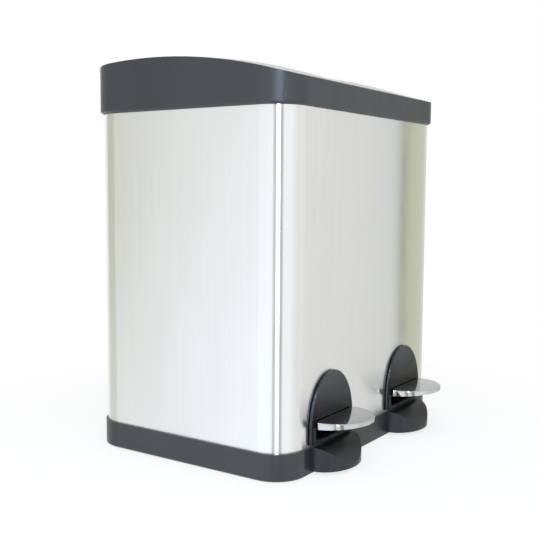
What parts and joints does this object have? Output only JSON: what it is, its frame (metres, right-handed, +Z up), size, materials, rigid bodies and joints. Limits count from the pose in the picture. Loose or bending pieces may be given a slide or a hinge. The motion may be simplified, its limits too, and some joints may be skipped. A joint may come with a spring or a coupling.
{
  "type": "double pedal recycling bin",
  "caption": "Steel recycling bin with twin inner buckets, each under its own domed lid that a foot pedal lifts through a lever and push rod.",
  "frame": {"origin": "on the floor, under the middle of the object's whole width and depth, pedals included", "axes": "+Z up, +X to the right as the user faces the pedals, the pedals point to -Y and the lid hinges lie at +Y"},
  "size_m": [0.4, 0.3496, 0.4867],
  "materials": {
    "sleeve_steel": "satin, faint upright grain",
    "lid_steel": "satin",
    "pedal_steel": "polished",
    "collar_plastic": "fine matt",
    "base_plastic": "fine matt",
    "surround_plastic": "satin",
    "liner_plastic": "matt",
    "bucket_plastic": "matt",
    "grip_plastic": "matt",
    "guide_plastic": "slightly waxy",
    "wire_steel": "bright plated wire",
    "strap_steel": "plain rolled",
    "rod_steel": "drawn",
    "pin_steel": "turned",
    "clip_steel": "blackened spring steel",
    "screw_steel": "zinc plated",
    "rubber": "matt"
  },
  "bodies": {
    "housing": {"steel_sleeve": "sleeve_steel", "base_moulding": "base_plastic", "rubber_feet": "rubber", "collar": "collar_plastic", "lid_buffers": "rubber", "lever_rests": "rubber", "lid_hinge_pin_left": "pin_steel", "bucket_left": "bucket_plastic", "pedal_surround_left": "surround_plastic", "lever_axle_left": "pin_steel", "axle_clips_left": "clip_steel", "lower_rod_guide_left": "guide_plastic", "upper_rod_guide_left": "guide_plastic", "collar_screws_left": "screw_steel", "lid_hinge_pin_right": "pin_steel", "bucket_right": "bucket_plastic", "pedal_surround_right": "surround_plastic", "lever_axle_right": "pin_steel", "axle_clips_right": "clip_steel", "lower_rod_guide_right": "guide_plastic", "upper_rod_guide_right": "guide_plastic", "collar_screws_right": "screw_steel", "guide_screws": "screw_steel", "surround_screws": "screw_steel"},
    "lid_left": {"lid_panel_left": "lid_steel", "lid_liner_left": "liner_plastic"},
    "pedal_left": {"pedal_plate_left": "pedal_steel", "pedal_lever_left": "strap_steel"},
    "rod_left": {"push_rod_left": "rod_steel", "rod_shoe_left": "guide_plastic", "rod_cap_left": "guide_plastic"},
    "bail_left": {"bail_left": "wire_steel", "bail_grip_left": "grip_plastic"},
    "lid_right": {"lid_panel_right": "lid_steel", "lid_liner_right": "liner_plastic"},
    "pedal_right": {"pedal_plate_right": "pedal_steel", "pedal_lever_right": "strap_steel"},
    "rod_right": {"push_rod_right": "rod_steel", "rod_shoe_right": "guide_plastic", "rod_cap_right": "guide_plastic"},
    "bail_right": {"bail_right": "wire_steel", "bail_grip_right": "grip_plastic"}
  },
  "joints": [
    {"name": "lid_left_hinge", "type": "hinge", "parent": "housing", "child": "lid_left", "pos_m": [-0.0973, 0.16275, 0.465], "axis": [-1, 0, 0], "range_deg": [0, 75]},
    {"name": "pedal_left_tilt", "type": "hinge", "parent": "housing", "child": "pedal_left", "pos_m": [-0.0973, -0.03825, 0.026], "axis": [1, 0, 0], "range_deg": [0, 7.84]},
    {"name": "rod_left_slide", "type": "slide", "parent": "housing", "child": "rod_left", "axis": [0, 0, 1], "range_m": [0, 0.0249]},
    {"name": "bail_left_swing", "type": "hinge", "parent": "housing", "child": "bail_left", "pos_m": [-0.0973, 0.01825, 0.4123], "axis": [1, 0, 0], "range_deg": [0, 180]},
    {"name": "lid_right_hinge", "type": "hinge", "parent": "housing", "child": "lid_right", "pos_m": [0.0973, 0.16275, 0.465], "axis": [-1, 0, 0], "range_deg": [0, 75]},
    {"name": "pedal_right_tilt", "type": "hinge", "parent": "housing", "child": "pedal_right", "pos_m": [0.0973, -0.03825, 0.026], "axis": [1, 0, 0], "range_deg": [0, 7.84]},
    {"name": "rod_right_slide", "type": "slide", "parent": "housing", "child": "rod_right", "axis": [0, 0, 1], "range_m": [0, 0.0249]},
    {"name": "bail_right_swing", "type": "hinge", "parent": "housing", "child": "bail_right", "pos_m": [0.0973, 0.01825, 0.4123], "axis": [1, 0, 0], "range_deg": [0, 180]}
  ],
  "couplings": [
    {"joint": "pedal_left_tilt", "follows": "lid_left_hinge", "ratio": 0.1044},
    {"joint": "rod_left_slide", "follows": "lid_left_hinge", "m_per_rad": 0.019},
    {"joint": "pedal_right_tilt", "follows": "lid_right_hinge", "ratio": 0.1044},
    {"joint": "rod_right_slide", "follows": "lid_right_hinge", "m_per_rad": 0.019}
  ]
}
